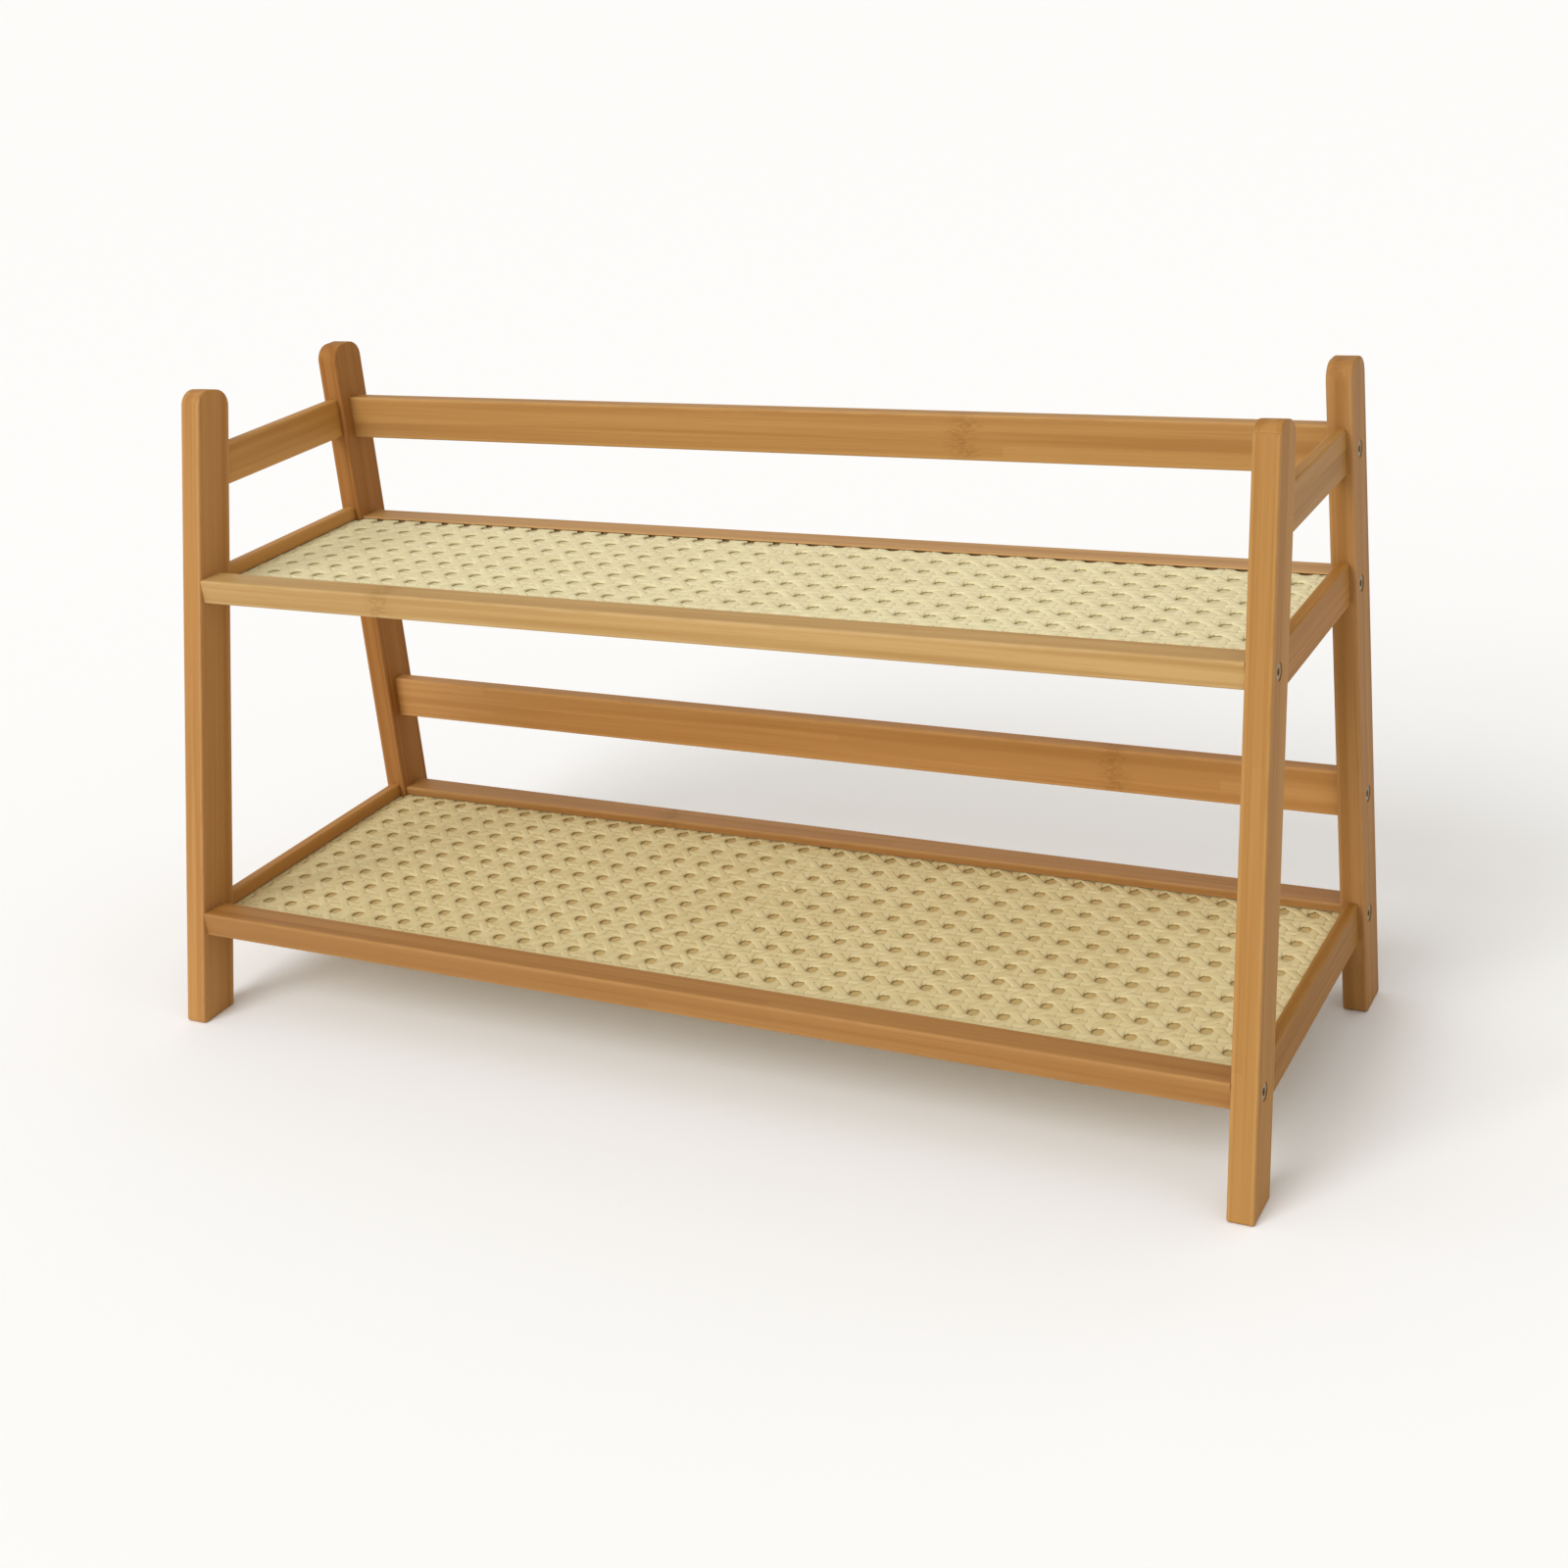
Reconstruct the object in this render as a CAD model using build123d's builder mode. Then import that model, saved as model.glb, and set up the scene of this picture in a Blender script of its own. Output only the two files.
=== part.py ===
from build123d import *
from math import cos, radians, sin, tan
import os

# Two-tier bamboo entryway rack with woven webbing shelves, in millimetres.
# X runs along the length, +Y to the back, +Z up; origin on the floor at the middle.

# Overall size
length = 701.0
leg_height = 388.3
front_leg_rise = 2.2
foot_depth = 256.0
front_lean = 13.75

# Legs
leg_thickness = 14.5
leg_width = 28.0
leg_top_radius = 10.5
foot_radius = 2.0
edge_radius = 1.2

# Rails and bars
side_thickness = 7.0
side_rail_height = 26.0
side_bar_height = 24.5
rail_height = 28.0
rail_thickness = 9.5
bar_height = 15.0
bar_depth = 18.0
back_bar_setback = 2.5
slat_width = 32.0
slat_thickness = 8.0
slat_setback = 96.5

# Top rails, measured down from the top of the back legs
top_side_rail_drop = 35.8
top_back_rail_drop = 36.7

# Heights of the other top faces above the floor
lower_back_rail_top = 147.5
upper_shelf_top = 276.5
lower_shelf_top = 70.0
upper_back_bar_top = 269.0
lower_back_bar_top = 67.0

# Webbing
web_thickness = 2.0
web_drop = 8.5
web_pitch = 18.15
web_hole = 7.6
web_seam_land = 25.7
web_edge_land = 4.0
web_back_land = 1.4
web_front_land = 3.0
sheet_thickness = 0.8
groove_depth = 3.5

# Fasteners
bolt_diameter = 5.0
bolt_length = 46.0
bolt_head_diameter = 9.5
bolt_head_height = 3.0
bolt_head_recess = 0.6
bolt_socket_flats = 4.0
bolt_socket_depth = 2.0
nut_diameter = 7.0
nut_length = 8.0
nut_depth = 22.0
dowel_diameter = 4.0
dowel_length = 20.0
dowel_in_leg = 7.0
rail_dowel_spacing = 13.0
bar_dowel_offset = 4.8
bar_bolt_offset = 1.0

# Clearances
joint_gap = 0.1
hole_clearance = 0.1
web_clearance = 0.15
nut_hole_extra = 1.0

# Places worked out from the sizes above
lean = radians(front_lean)
front_leg_height = leg_height + front_leg_rise
top_side_rail_top = leg_height - top_side_rail_drop
top_back_rail_top = leg_height - top_back_rail_drop
lean_slope = tan(lean)
half_length = length / 2
inner_half = half_length - leg_thickness
front_foot_y = -foot_depth / 2
back_y = foot_depth / 2
back_leg_front_y = back_y - leg_width
front_leg_run = leg_width / cos(lean)
side_center_x = half_length - leg_thickness / 2
side_inner_x = side_center_x - side_thickness / 2
bar_span = 2 * (inner_half - joint_gap)
back_center_y = back_y - leg_width / 2
sides = {"left": -1, "right": 1}

shelves = {
    "upper": {"front_top": upper_shelf_top, "back_top": upper_back_bar_top},
    "lower": {"front_top": lower_shelf_top, "back_top": lower_back_bar_top},
}
for shelf in shelves.values():
    top = shelf["front_top"]
    shelf["bar_front_y"] = front_foot_y + lean_slope * top
    shelf["bar_back_y"] = shelf["bar_front_y"] + bar_depth
    shelf["back_bar_front_y"] = back_leg_front_y + back_bar_setback
    shelf["back_bar_y"] = shelf["back_bar_front_y"] + bar_depth / 2
    shelf["web_top"] = top - web_drop
    shelf["sheet_top"] = shelf["web_top"] - web_thickness - web_clearance
    shelf["groove_top"] = shelf["web_top"] + web_clearance
    shelf["groove_bottom"] = shelf["sheet_top"] - sheet_thickness - web_clearance
    shelf["slat_top"] = shelf["sheet_top"] - sheet_thickness - web_clearance
    shelf["bolt_front"] = (shelf["bar_front_y"] + bar_depth / 2 + bar_bolt_offset, top - bar_height / 2)
    shelf["bolt_back"] = (shelf["back_bar_y"] - bar_bolt_offset, shelf["back_top"] - bar_height / 2)
    shelf["slat_y"] = back_y - slat_setback

top_rail_bolt = (back_center_y, top_back_rail_top - rail_height / 2)
lower_rail_bolt = (back_center_y, lower_back_rail_top - rail_height / 2)
bar_bolts = [shelf[key] for shelf in shelves.values() for key in ("bolt_front", "bolt_back")]
rail_bolts = [top_rail_bolt, lower_rail_bolt]
front_bolts = [shelf["bolt_front"] for shelf in shelves.values()]
back_bolts = [shelf["bolt_back"] for shelf in shelves.values()] + rail_bolts

# Locating dowels stand beside each bolt: on the side away from the groove on a bar, above it on a rail
front_pins = [
    (shelf["bar_front_y"] + bar_depth / 2 - bar_dowel_offset, shelf["bolt_front"][1])
    for shelf in shelves.values()
]
back_bar_pins = [
    (shelf["back_bar_y"] + bar_dowel_offset, shelf["bolt_back"][1])
    for shelf in shelves.values()
]
rail_pins = [(y, z + rail_dowel_spacing / 2) for y, z in rail_bolts]
back_pins = back_bar_pins + rail_pins

# Side members: the top face and height of the rail and the two shelf bars of one end frame
side_members = {
    "top_side_rail": (top_side_rail_top, side_rail_height),
    "upper_shelf_side_bar": (upper_shelf_top, side_bar_height),
    "lower_shelf_side_bar": (lower_shelf_top, side_bar_height),
}
dowel_rows = [
    top - tall / 2 + step * rail_dowel_spacing / 2
    for top, tall in side_members.values()
    for step in (-1, 1)
]


def front_leg_back_y(z):
    return front_foot_y + lean_slope * z + front_leg_run


def save(part, name):
    part.label = name
    export_step(part, f"parts/{name}.step")


# Turns a cylinder so that its axis runs along X or along Y
along_x = (0, 90, 0)
along_y = (90, 0, 0)

os.makedirs("parts", exist_ok=True)


# Legs

def leg_outline(front):
    corner_z = leg_height
    if front:
        corner_z = front_leg_height - leg_top_radius * (1 - cos(lean) - sin(lean))
    tilt = lean if front else 0.0
    foot_y = front_foot_y if front else back_leg_front_y
    front_top = (foot_y + corner_z * (lean_slope if front else 0.0), corner_z)
    back_top = (front_top[0] + leg_width * cos(tilt), front_top[1] - leg_width * sin(tilt))
    return [(foot_y, 0), front_top, back_top, (foot_y + leg_width / cos(tilt), 0)]


def make_leg(side, front):
    direction = sides[side]
    bolts = front_bolts if front else back_bolts
    pins = front_pins if front else back_pins
    outer_x = direction * half_length
    inner_x = direction * inner_half
    with BuildPart() as leg:
        with BuildSketch(Plane.YZ.offset(min(outer_x, inner_x))) as outline:
            with BuildLine():
                Polyline(*leg_outline(front), close=True)
            make_face()
            fillet(outline.vertices().group_by(Axis.Y)[0], foot_radius)
            fillet(outline.vertices().filter_by(lambda v: v.Y > leg_height / 2), leg_top_radius)
        extrude(amount=leg_thickness)
        fillet(leg.faces().filter_by(Axis.X).edges(), edge_radius)
        # Counterbored bolt holes from the outer face
        for y, z in bolts:
            with Locations(Location((direction * (half_length + inner_half) / 2, y, z), along_x)):
                Cylinder(bolt_diameter / 2 + hole_clearance, 2 * leg_thickness, mode=Mode.SUBTRACT)
            seat = bolt_head_height + bolt_head_recess
            with Locations(Location((direction * (half_length - seat / 2), y, z), along_x)):
                Cylinder(bolt_head_diameter / 2 + hole_clearance, seat, mode=Mode.SUBTRACT)
        # Blind holes on the inner face for the locating dowels
        pin_depth = dowel_in_leg + hole_clearance
        for y, z in pins:
            with Locations(Location((direction * (inner_half + pin_depth / 2), y, z), along_x)):
                Cylinder(dowel_diameter / 2 + hole_clearance, pin_depth, mode=Mode.SUBTRACT)
        # Blind holes for the dowels of the side members
        for z in dowel_rows:
            mouth = front_leg_back_y(z) if front else back_leg_front_y
            bottom = mouth - dowel_in_leg - hole_clearance if front else mouth + dowel_in_leg + hole_clearance
            middle = (mouth + bottom) / 2
            overrun = dowel_in_leg if front else -dowel_in_leg
            with Locations(Location((direction * side_center_x, middle + overrun / 2, z), along_y)):
                Cylinder(
                    dowel_diameter / 2 + hole_clearance,
                    abs(mouth - bottom) + dowel_in_leg,
                    mode=Mode.SUBTRACT,
                )
    save(leg.part, f"{side}_{'front' if front else 'back'}_leg")


for side in sides:
    make_leg(side, front=True)
    make_leg(side, front=False)


# Side rails and shelf side bars, cut to the slope of the front leg

def make_side_member(side, member):
    direction = sides[side]
    top, tall = side_members[member]
    bottom = top - tall
    corners = [
        (front_leg_back_y(bottom) + joint_gap, bottom),
        (front_leg_back_y(top) + joint_gap, top),
        (back_leg_front_y - joint_gap, top),
        (back_leg_front_y - joint_gap, bottom),
    ]
    with BuildPart() as rail:
        with BuildSketch(Plane.YZ.offset(direction * side_center_x - side_thickness / 2)):
            with BuildLine():
                Polyline(*corners, close=True)
            make_face()
        extrude(amount=side_thickness)
        fillet(rail.edges().filter_by(Axis.Y), edge_radius)
        reach = dowel_length - dowel_in_leg + hole_clearance
        for z in (top - tall / 2 - rail_dowel_spacing / 2, top - tall / 2 + rail_dowel_spacing / 2):
            ends = (
                front_leg_back_y(z) + reach / 2 - dowel_in_leg / 2,
                back_leg_front_y - reach / 2 + dowel_in_leg / 2,
            )
            for y in ends:
                with Locations(Location((direction * side_center_x, y, z), along_y)):
                    Cylinder(dowel_diameter / 2 + hole_clearance, reach + dowel_in_leg, mode=Mode.SUBTRACT)
        # A groove on the inner face carries the edge of the webbing
        for shelf in shelves.values():
            if top != shelf["front_top"]:
                continue
            groove_height = shelf["groove_top"] - shelf["groove_bottom"]
            with Locations((direction * side_inner_x, 0, shelf["groove_bottom"] + groove_height / 2)):
                Box(2 * groove_depth, 2 * foot_depth, groove_height, mode=Mode.SUBTRACT)
            # Blind holes for the dowels of the middle slat
            slat_z = shelf["slat_top"] - slat_thickness / 2
            for step in (-1, 1):
                place = (direction * side_inner_x, shelf["slat_y"] + step * slat_width / 4, slat_z)
                with Locations(Location(place, along_x)):
                    Cylinder(dowel_diameter / 2 + hole_clearance, 2 * groove_depth, mode=Mode.SUBTRACT)
    save(rail.part, f"{side}_{member}")


for side in sides:
    for member in side_members:
        make_side_member(side, member)


# Long bars and rails between the end frames

def make_long_bar(name, middle_y, top, deep, tall, bolt, pin, groove=None):
    nut_along = along_y if groove is None else (0, 0, 0)
    with BuildPart() as bar:
        with Locations((0, middle_y, top - tall / 2)):
            Box(bar_span, deep, tall)
        fillet(bar.edges().filter_by(Axis.X), edge_radius)
        for direction in sides.values():
            bolt_reach = bolt_length - leg_thickness + bolt_head_height + bolt_head_recess
            with Locations(Location((direction * inner_half, bolt[0], bolt[1]), along_x)):
                Cylinder(bolt_diameter / 2 + hole_clearance, 2 * bolt_reach, mode=Mode.SUBTRACT)
            pin_reach = dowel_length - dowel_in_leg + hole_clearance
            with Locations(Location((direction * inner_half, pin[0], pin[1]), along_x)):
                Cylinder(dowel_diameter / 2 + hole_clearance, 2 * pin_reach, mode=Mode.SUBTRACT)
            # Cross hole for the barrel nut, open below on a bar and at the back on a rail
            nut_x = direction * (inner_half - nut_depth)
            if groove is None:
                open_face = middle_y + deep / 2
                blind = bolt[0] - nut_length / 2 - hole_clearance
                place = (nut_x, (open_face + blind) / 2 + nut_hole_extra / 2, bolt[1])
                depth = open_face - blind + nut_hole_extra
            else:
                open_face = top - tall
                blind = bolt[1] + nut_length / 2 + hole_clearance
                place = (nut_x, bolt[0], (open_face + blind) / 2 - nut_hole_extra / 2)
                depth = blind - open_face + nut_hole_extra
            with Locations(Location(place, nut_along)):
                Cylinder(nut_diameter / 2 + hole_clearance, depth, mode=Mode.SUBTRACT)
        if groove is not None:
            face_y, shelf = groove
            groove_height = shelf["groove_top"] - shelf["groove_bottom"]
            with Locations((0, face_y, shelf["groove_bottom"] + groove_height / 2)):
                Box(2 * length, 2 * groove_depth, groove_height, mode=Mode.SUBTRACT)
    save(bar.part, name)


for number, (shelf_name, shelf) in enumerate(shelves.items()):
    make_long_bar(
        f"{shelf_name}_shelf_front_bar",
        shelf["bar_front_y"] + bar_depth / 2,
        shelf["front_top"],
        bar_depth,
        bar_height,
        shelf["bolt_front"],
        front_pins[number],
        groove=(shelf["bar_back_y"], shelf),
    )
    make_long_bar(
        f"{shelf_name}_shelf_back_bar",
        shelf["back_bar_y"],
        shelf["back_top"],
        bar_depth,
        bar_height,
        shelf["bolt_back"],
        back_bar_pins[number],
        groove=(shelf["back_bar_front_y"], shelf),
    )

make_long_bar(
    "top_back_rail",
    back_center_y,
    top_back_rail_top,
    rail_thickness,
    rail_height,
    top_rail_bolt,
    rail_pins[0],
)
make_long_bar(
    "lower_back_rail",
    back_center_y,
    lower_back_rail_top,
    rail_thickness,
    rail_height,
    lower_rail_bolt,
    rail_pins[1],
)


# Middle slats under the webbing, doweled to the shelf side bars

slat_span = 2 * (side_inner_x - joint_gap)
slat_dowel_reach = dowel_length - groove_depth

for shelf_name, shelf in shelves.items():
    with BuildPart() as slat:
        with Locations((0, shelf["slat_y"], shelf["slat_top"] - slat_thickness / 2)):
            Box(slat_span, slat_width, slat_thickness)
        fillet(slat.edges().filter_by(Axis.X), edge_radius)
        for direction in sides.values():
            for step in (-1, 1):
                place = (
                    direction * side_inner_x,
                    shelf["slat_y"] + step * slat_width / 4,
                    shelf["slat_top"] - slat_thickness / 2,
                )
                with Locations(Location(place, along_x)):
                    Cylinder(
                        dowel_diameter / 2 + hole_clearance,
                        2 * (slat_dowel_reach + hole_clearance),
                        mode=Mode.SUBTRACT,
                    )
    save(slat.part, f"{shelf_name}_shelf_middle_slat")


# Shelf panels slide into the grooves and are notched round the legs

def panel_outline(shelf, left, right):
    grip = groove_depth - web_clearance
    front = shelf["bar_back_y"] - grip
    back = shelf["back_bar_front_y"] + grip
    notch_x = inner_half - web_clearance
    leg_back = front_leg_back_y(shelf["web_top"]) + web_clearance
    leg_front = back_leg_front_y - web_clearance
    left_notch = max(left, -notch_x)
    right_notch = min(right, notch_x)
    corners = [(left_notch, front), (right_notch, front)]
    if right > right_notch:
        corners += [(right_notch, leg_back), (right, leg_back), (right, leg_front), (right_notch, leg_front)]
    corners += [(right_notch, back), (left_notch, back)]
    if left < left_notch:
        corners += [(left_notch, leg_front), (left, leg_front), (left, leg_back), (left_notch, leg_back)]
    return corners


panel_end_x = side_inner_x + groove_depth - web_clearance


# Webbing: two woven panels per shelf, meeting at a seam in the middle of the length

def make_webbing(side, shelf_name):
    direction = sides[side]
    shelf = shelves[shelf_name]
    seam = direction * joint_gap / 2
    left, right = sorted((seam, direction * panel_end_x))
    first_x = direction * web_seam_land / 2
    room_x = side_inner_x - web_edge_land - web_hole / 2 - web_seam_land / 2
    first_y = shelf["back_bar_front_y"] - web_back_land - web_hole / 2
    room_y = first_y - shelf["bar_back_y"] - web_front_land - web_hole / 2
    centers = [
        (first_x + direction * column * web_pitch, first_y - row * web_pitch)
        for column in range(int(room_x / web_pitch) + 1)
        for row in range(int(room_y / web_pitch) + 1)
    ]
    with BuildPart() as webbing:
        with BuildSketch(Plane.XY.offset(shelf["web_top"] - web_thickness)):
            with BuildLine():
                Polyline(*panel_outline(shelf, left, right), close=True)
            make_face()
            with Locations(*centers):
                Circle(web_hole / 2, mode=Mode.SUBTRACT)
        extrude(amount=web_thickness)
    save(webbing.part, f"{shelf_name}_webbing_{side}")
    print(shelf_name, side, "webbing holes", len(centers))


# A thin backing sheet lies under the webbing of each shelf

def make_backing_sheet(shelf_name):
    shelf = shelves[shelf_name]
    with BuildPart() as sheet:
        with BuildSketch(Plane.XY.offset(shelf["sheet_top"] - sheet_thickness)):
            with BuildLine():
                Polyline(*panel_outline(shelf, -panel_end_x, panel_end_x), close=True)
            make_face()
        extrude(amount=sheet_thickness)
    save(sheet.part, f"{shelf_name}_backing_sheet")


for shelf_name in shelves:
    make_backing_sheet(shelf_name)
    for side in sides:
        make_webbing(side, shelf_name)


# Fasteners

bolt_shank_length = bolt_length - bolt_head_height


def make_bolts(side):
    direction = sides[side]
    head_x = direction * (half_length - bolt_head_recess - bolt_head_height / 2)
    shank_x = direction * (half_length - bolt_head_recess - bolt_head_height - bolt_shank_length / 2)
    with BuildPart() as bolts:
        for y, z in bar_bolts + rail_bolts:
            with Locations(Location((head_x, y, z), along_x)):
                Cylinder(bolt_head_diameter / 2, bolt_head_height)
            with Locations(Location((shank_x, y, z), along_x)):
                Cylinder(bolt_diameter / 2, bolt_shank_length)
        for y, z in bar_bolts + rail_bolts:
            base = direction * (half_length - bolt_head_recess)
            with BuildSketch(Plane(origin=(base, y, z), z_dir=(-direction, 0, 0))):
                RegularPolygon(bolt_socket_flats / 2, 6, major_radius=False)
            extrude(amount=bolt_socket_depth, mode=Mode.SUBTRACT)
    save(bolts.part, f"{side}_bolts")


def make_nuts(side):
    direction = sides[side]
    nut_x = direction * (inner_half - nut_depth)
    with BuildPart() as nuts:
        for y, z in bar_bolts:
            with Locations((nut_x, y, z)):
                Cylinder(nut_diameter / 2, nut_length)
        for y, z in rail_bolts:
            with Locations(Location((nut_x, y, z), along_y)):
                Cylinder(nut_diameter / 2, nut_length)
        for y, z in bar_bolts + rail_bolts:
            with Locations(Location((nut_x, y, z), along_x)):
                Cylinder(bolt_diameter / 2 + hole_clearance, 2 * nut_diameter, mode=Mode.SUBTRACT)
    save(nuts.part, f"{side}_barrel_nuts")


def make_side_dowels(side):
    direction = sides[side]
    inset = dowel_length / 2 - dowel_in_leg
    with BuildPart() as dowels:
        for z in dowel_rows:
            for y in (front_leg_back_y(z) + inset, back_leg_front_y - inset):
                with Locations(Location((direction * side_center_x, y, z), along_y)):
                    Cylinder(dowel_diameter / 2, dowel_length)
    save(dowels.part, f"{side}_side_frame_dowels")


def make_locating_dowels(side):
    direction = sides[side]
    dowel_x = direction * (inner_half + dowel_in_leg - dowel_length / 2)
    with BuildPart() as dowels:
        for y, z in front_pins + back_pins:
            with Locations(Location((dowel_x, y, z), along_x)):
                Cylinder(dowel_diameter / 2, dowel_length)
    save(dowels.part, f"{side}_locating_dowels")


def make_slat_dowels(side):
    direction = sides[side]
    dowel_x = direction * (side_inner_x + groove_depth - hole_clearance - dowel_length / 2)
    with BuildPart() as dowels:
        for shelf in shelves.values():
            for step in (-1, 1):
                y = shelf["slat_y"] + step * slat_width / 4
                with Locations(Location((dowel_x, y, shelf["slat_top"] - slat_thickness / 2), along_x)):
                    Cylinder(dowel_diameter / 2, dowel_length)
    save(dowels.part, f"{side}_slat_dowels")


for side in sides:
    make_bolts(side)
    make_nuts(side)
    make_side_dowels(side)
    make_locating_dowels(side)
    make_slat_dowels(side)
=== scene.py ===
import bpy
import math
from mathutils import Matrix, Vector


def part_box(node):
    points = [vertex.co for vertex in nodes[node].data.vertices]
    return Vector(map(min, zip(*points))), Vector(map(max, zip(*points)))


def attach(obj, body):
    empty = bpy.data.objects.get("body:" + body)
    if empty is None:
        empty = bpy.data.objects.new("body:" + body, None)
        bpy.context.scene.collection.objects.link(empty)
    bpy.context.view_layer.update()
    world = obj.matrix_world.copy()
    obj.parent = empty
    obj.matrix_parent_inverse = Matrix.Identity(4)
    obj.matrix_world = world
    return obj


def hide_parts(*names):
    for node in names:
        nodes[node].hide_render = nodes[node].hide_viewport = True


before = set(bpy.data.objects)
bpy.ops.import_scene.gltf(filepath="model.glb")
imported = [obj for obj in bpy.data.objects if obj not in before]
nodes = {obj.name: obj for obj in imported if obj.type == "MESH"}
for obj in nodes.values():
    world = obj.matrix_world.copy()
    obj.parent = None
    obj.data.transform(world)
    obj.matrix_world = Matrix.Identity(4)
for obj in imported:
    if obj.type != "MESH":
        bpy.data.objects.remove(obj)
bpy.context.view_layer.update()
print("frame loaded,", len(nodes), "nodes")

scene = bpy.context.scene
scene.view_settings.view_transform = "Standard"
mm = 0.001


def deselectAll():
    bpy.ops.object.select_all(action="DESELECT")


# camera, at the photo's angle
cameraSetup = {
    "place": (0.6592, -1.0784, 0.6781),
    "azimuth": 28.86,
    "elevation": 17.57,
    "roll": -5.75,
    "lens": 52.36,
    "sensor": 36,
    "shiftX": -0.01572,
    "shiftY": -0.1365,
    "clipEnd": 200,
}


def placeCamera(setup):
    turn = math.radians(setup["azimuth"])
    rise = math.radians(setup["elevation"])
    roll = math.radians(setup["roll"])
    back = Vector((
        math.sin(turn) * math.cos(rise),
        -math.cos(turn) * math.cos(rise),
        math.sin(rise),
    ))
    right = (-back).cross(Vector((0, 0, 1))).normalized()
    up = right.cross(-back)
    rolledRight = math.cos(roll) * right + math.sin(roll) * up
    rolledUp = -math.sin(roll) * right + math.cos(roll) * up
    deselectAll()
    bpy.ops.object.camera_add(location=setup["place"])
    camera = bpy.context.object
    camera.name = "photoCamera"
    camera.rotation_euler = Matrix((rolledRight, rolledUp, back)).transposed().to_euler()
    camera.data.sensor_width = setup["sensor"]
    camera.data.lens = setup["lens"]
    camera.data.shift_x = setup["shiftX"]
    camera.data.shift_y = setup["shiftY"]
    camera.data.clip_end = setup["clipEnd"]
    scene.camera = camera


placeCamera(cameraSetup)
print("camera placed")


# shader helpers
def newMaterial(name):
    material = bpy.data.materials.new(name)
    material.use_nodes = True
    tree = material.node_tree
    tree.nodes.clear()
    out = tree.nodes.new("ShaderNodeOutputMaterial")
    shader = tree.nodes.new("ShaderNodeBsdfPrincipled")
    tree.links.new(shader.outputs["BSDF"], out.inputs["Surface"])
    return material, tree, shader


def feed(tree, socket, value):
    if isinstance(value, (int, float)):
        socket.default_value = value
    elif isinstance(value, tuple):
        socket.default_value = (*value, 1.0)  # a plain colour
    else:
        tree.links.new(value, socket)


def mathNode(tree, operation, *values):
    node = tree.nodes.new("ShaderNodeMath")
    node.operation = operation
    for socket, value in zip(node.inputs, values):
        feed(tree, socket, value)
    return node.outputs[0]


def rangeNode(tree, value, span, result=(0.0, 1.0)):
    node = tree.nodes.new("ShaderNodeMapRange")
    node.interpolation_type = "SMOOTHSTEP"
    tree.links.new(value, node.inputs["Value"])
    node.inputs["From Min"].default_value, node.inputs["From Max"].default_value = span
    node.inputs["To Min"].default_value, node.inputs["To Max"].default_value = result
    return node.outputs["Result"]


def mixColour(tree, factor, first, second):
    node = tree.nodes.new("ShaderNodeMix")
    node.data_type = "RGBA"
    feed(tree, node.inputs[0], factor)
    feed(tree, node.inputs[6], first)
    feed(tree, node.inputs[7], second)
    return node.outputs[2]


def noiseNode(tree, vector, stretch, detail, rough):
    spread = tree.nodes.new("ShaderNodeVectorMath")
    spread.operation = "MULTIPLY"
    tree.links.new(vector, spread.inputs[0])
    spread.inputs[1].default_value = stretch
    node = tree.nodes.new("ShaderNodeTexNoise")
    tree.links.new(spread.outputs["Vector"], node.inputs["Vector"])
    node.inputs["Scale"].default_value = 1.0
    node.inputs["Detail"].default_value = detail
    node.inputs["Roughness"].default_value = rough
    return node.outputs["Fac"]


def objectPlace(tree):
    return tree.nodes.new("ShaderNodeTexCoord").outputs["Object"]


def turnedPlace(tree, place, turn):
    node = tree.nodes.new("ShaderNodeMapping")
    node.vector_type = "TEXTURE"
    node.inputs["Rotation"].default_value = turn
    tree.links.new(place, node.inputs["Vector"])
    return node.outputs["Vector"]


def addBump(tree, shader, height, finish):
    bump = tree.nodes.new("ShaderNodeBump")
    bump.inputs["Strength"].default_value = finish["bump"]
    bump.inputs["Distance"].default_value = finish["bumpDepth"]
    tree.links.new(height, bump.inputs["Height"])
    tree.links.new(bump.outputs["Normal"], shader.inputs["Normal"])


def startGroup(name, inputs, outputs):
    group = bpy.data.node_groups.new(name, "ShaderNodeTree")
    for socket, kind in inputs.items():
        group.interface.new_socket(socket, in_out="INPUT", socket_type="NodeSocket" + kind)
    for socket in outputs:
        group.interface.new_socket(socket, in_out="OUTPUT", socket_type="NodeSocketFloat")
    entry = group.nodes.new("NodeGroupInput")
    leave = group.nodes.new("NodeGroupOutput")
    return group, entry.outputs, leave.inputs


def placeGroup(tree, group, vector, values):
    node = tree.nodes.new("ShaderNodeGroup")
    node.node_tree = group
    tree.links.new(vector, node.inputs["Vector"])
    for name, value in values.items():
        node.inputs[name].default_value = value
    return node.outputs


# laminated bamboo, its strips along X of the incoming vector
bambooGrain = {
    "fibre": {"stretch": (9, 1500, 1500), "detail": 3, "rough": 0.6},
    "streak": {"stretch": (2.6, 150, 150), "detail": 2, "rough": 0.5},
    "pores": {"stretch": (60, 2400, 2400), "detail": 1, "rough": 0.5},
    "poreSpan": (0.66, 0.78),
    "glueSpan": (0.46, 0.498),  # from a strip's middle, as a share of its width
    "layerStep": 17.3,  # tells the strips of one layer from the next
    "stagger": 9.7,  # sets off the ends of neighbouring strips
}
culmNode = {
    "wander": {"stretch": (40, 160, 160), "detail": 2, "rough": 0.6},
    "sway": 20 * mm,
    "bandSpan": (1 * mm, 14 * mm),
    "flecks": {"stretch": (220, 700, 700), "detail": 2, "rough": 0.6},
    "fleckSpan": (0.38, 0.62),
    "lineSpan": (0.4 * mm, 1.2 * mm),
    "lineDepth": 0.8,
}


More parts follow.
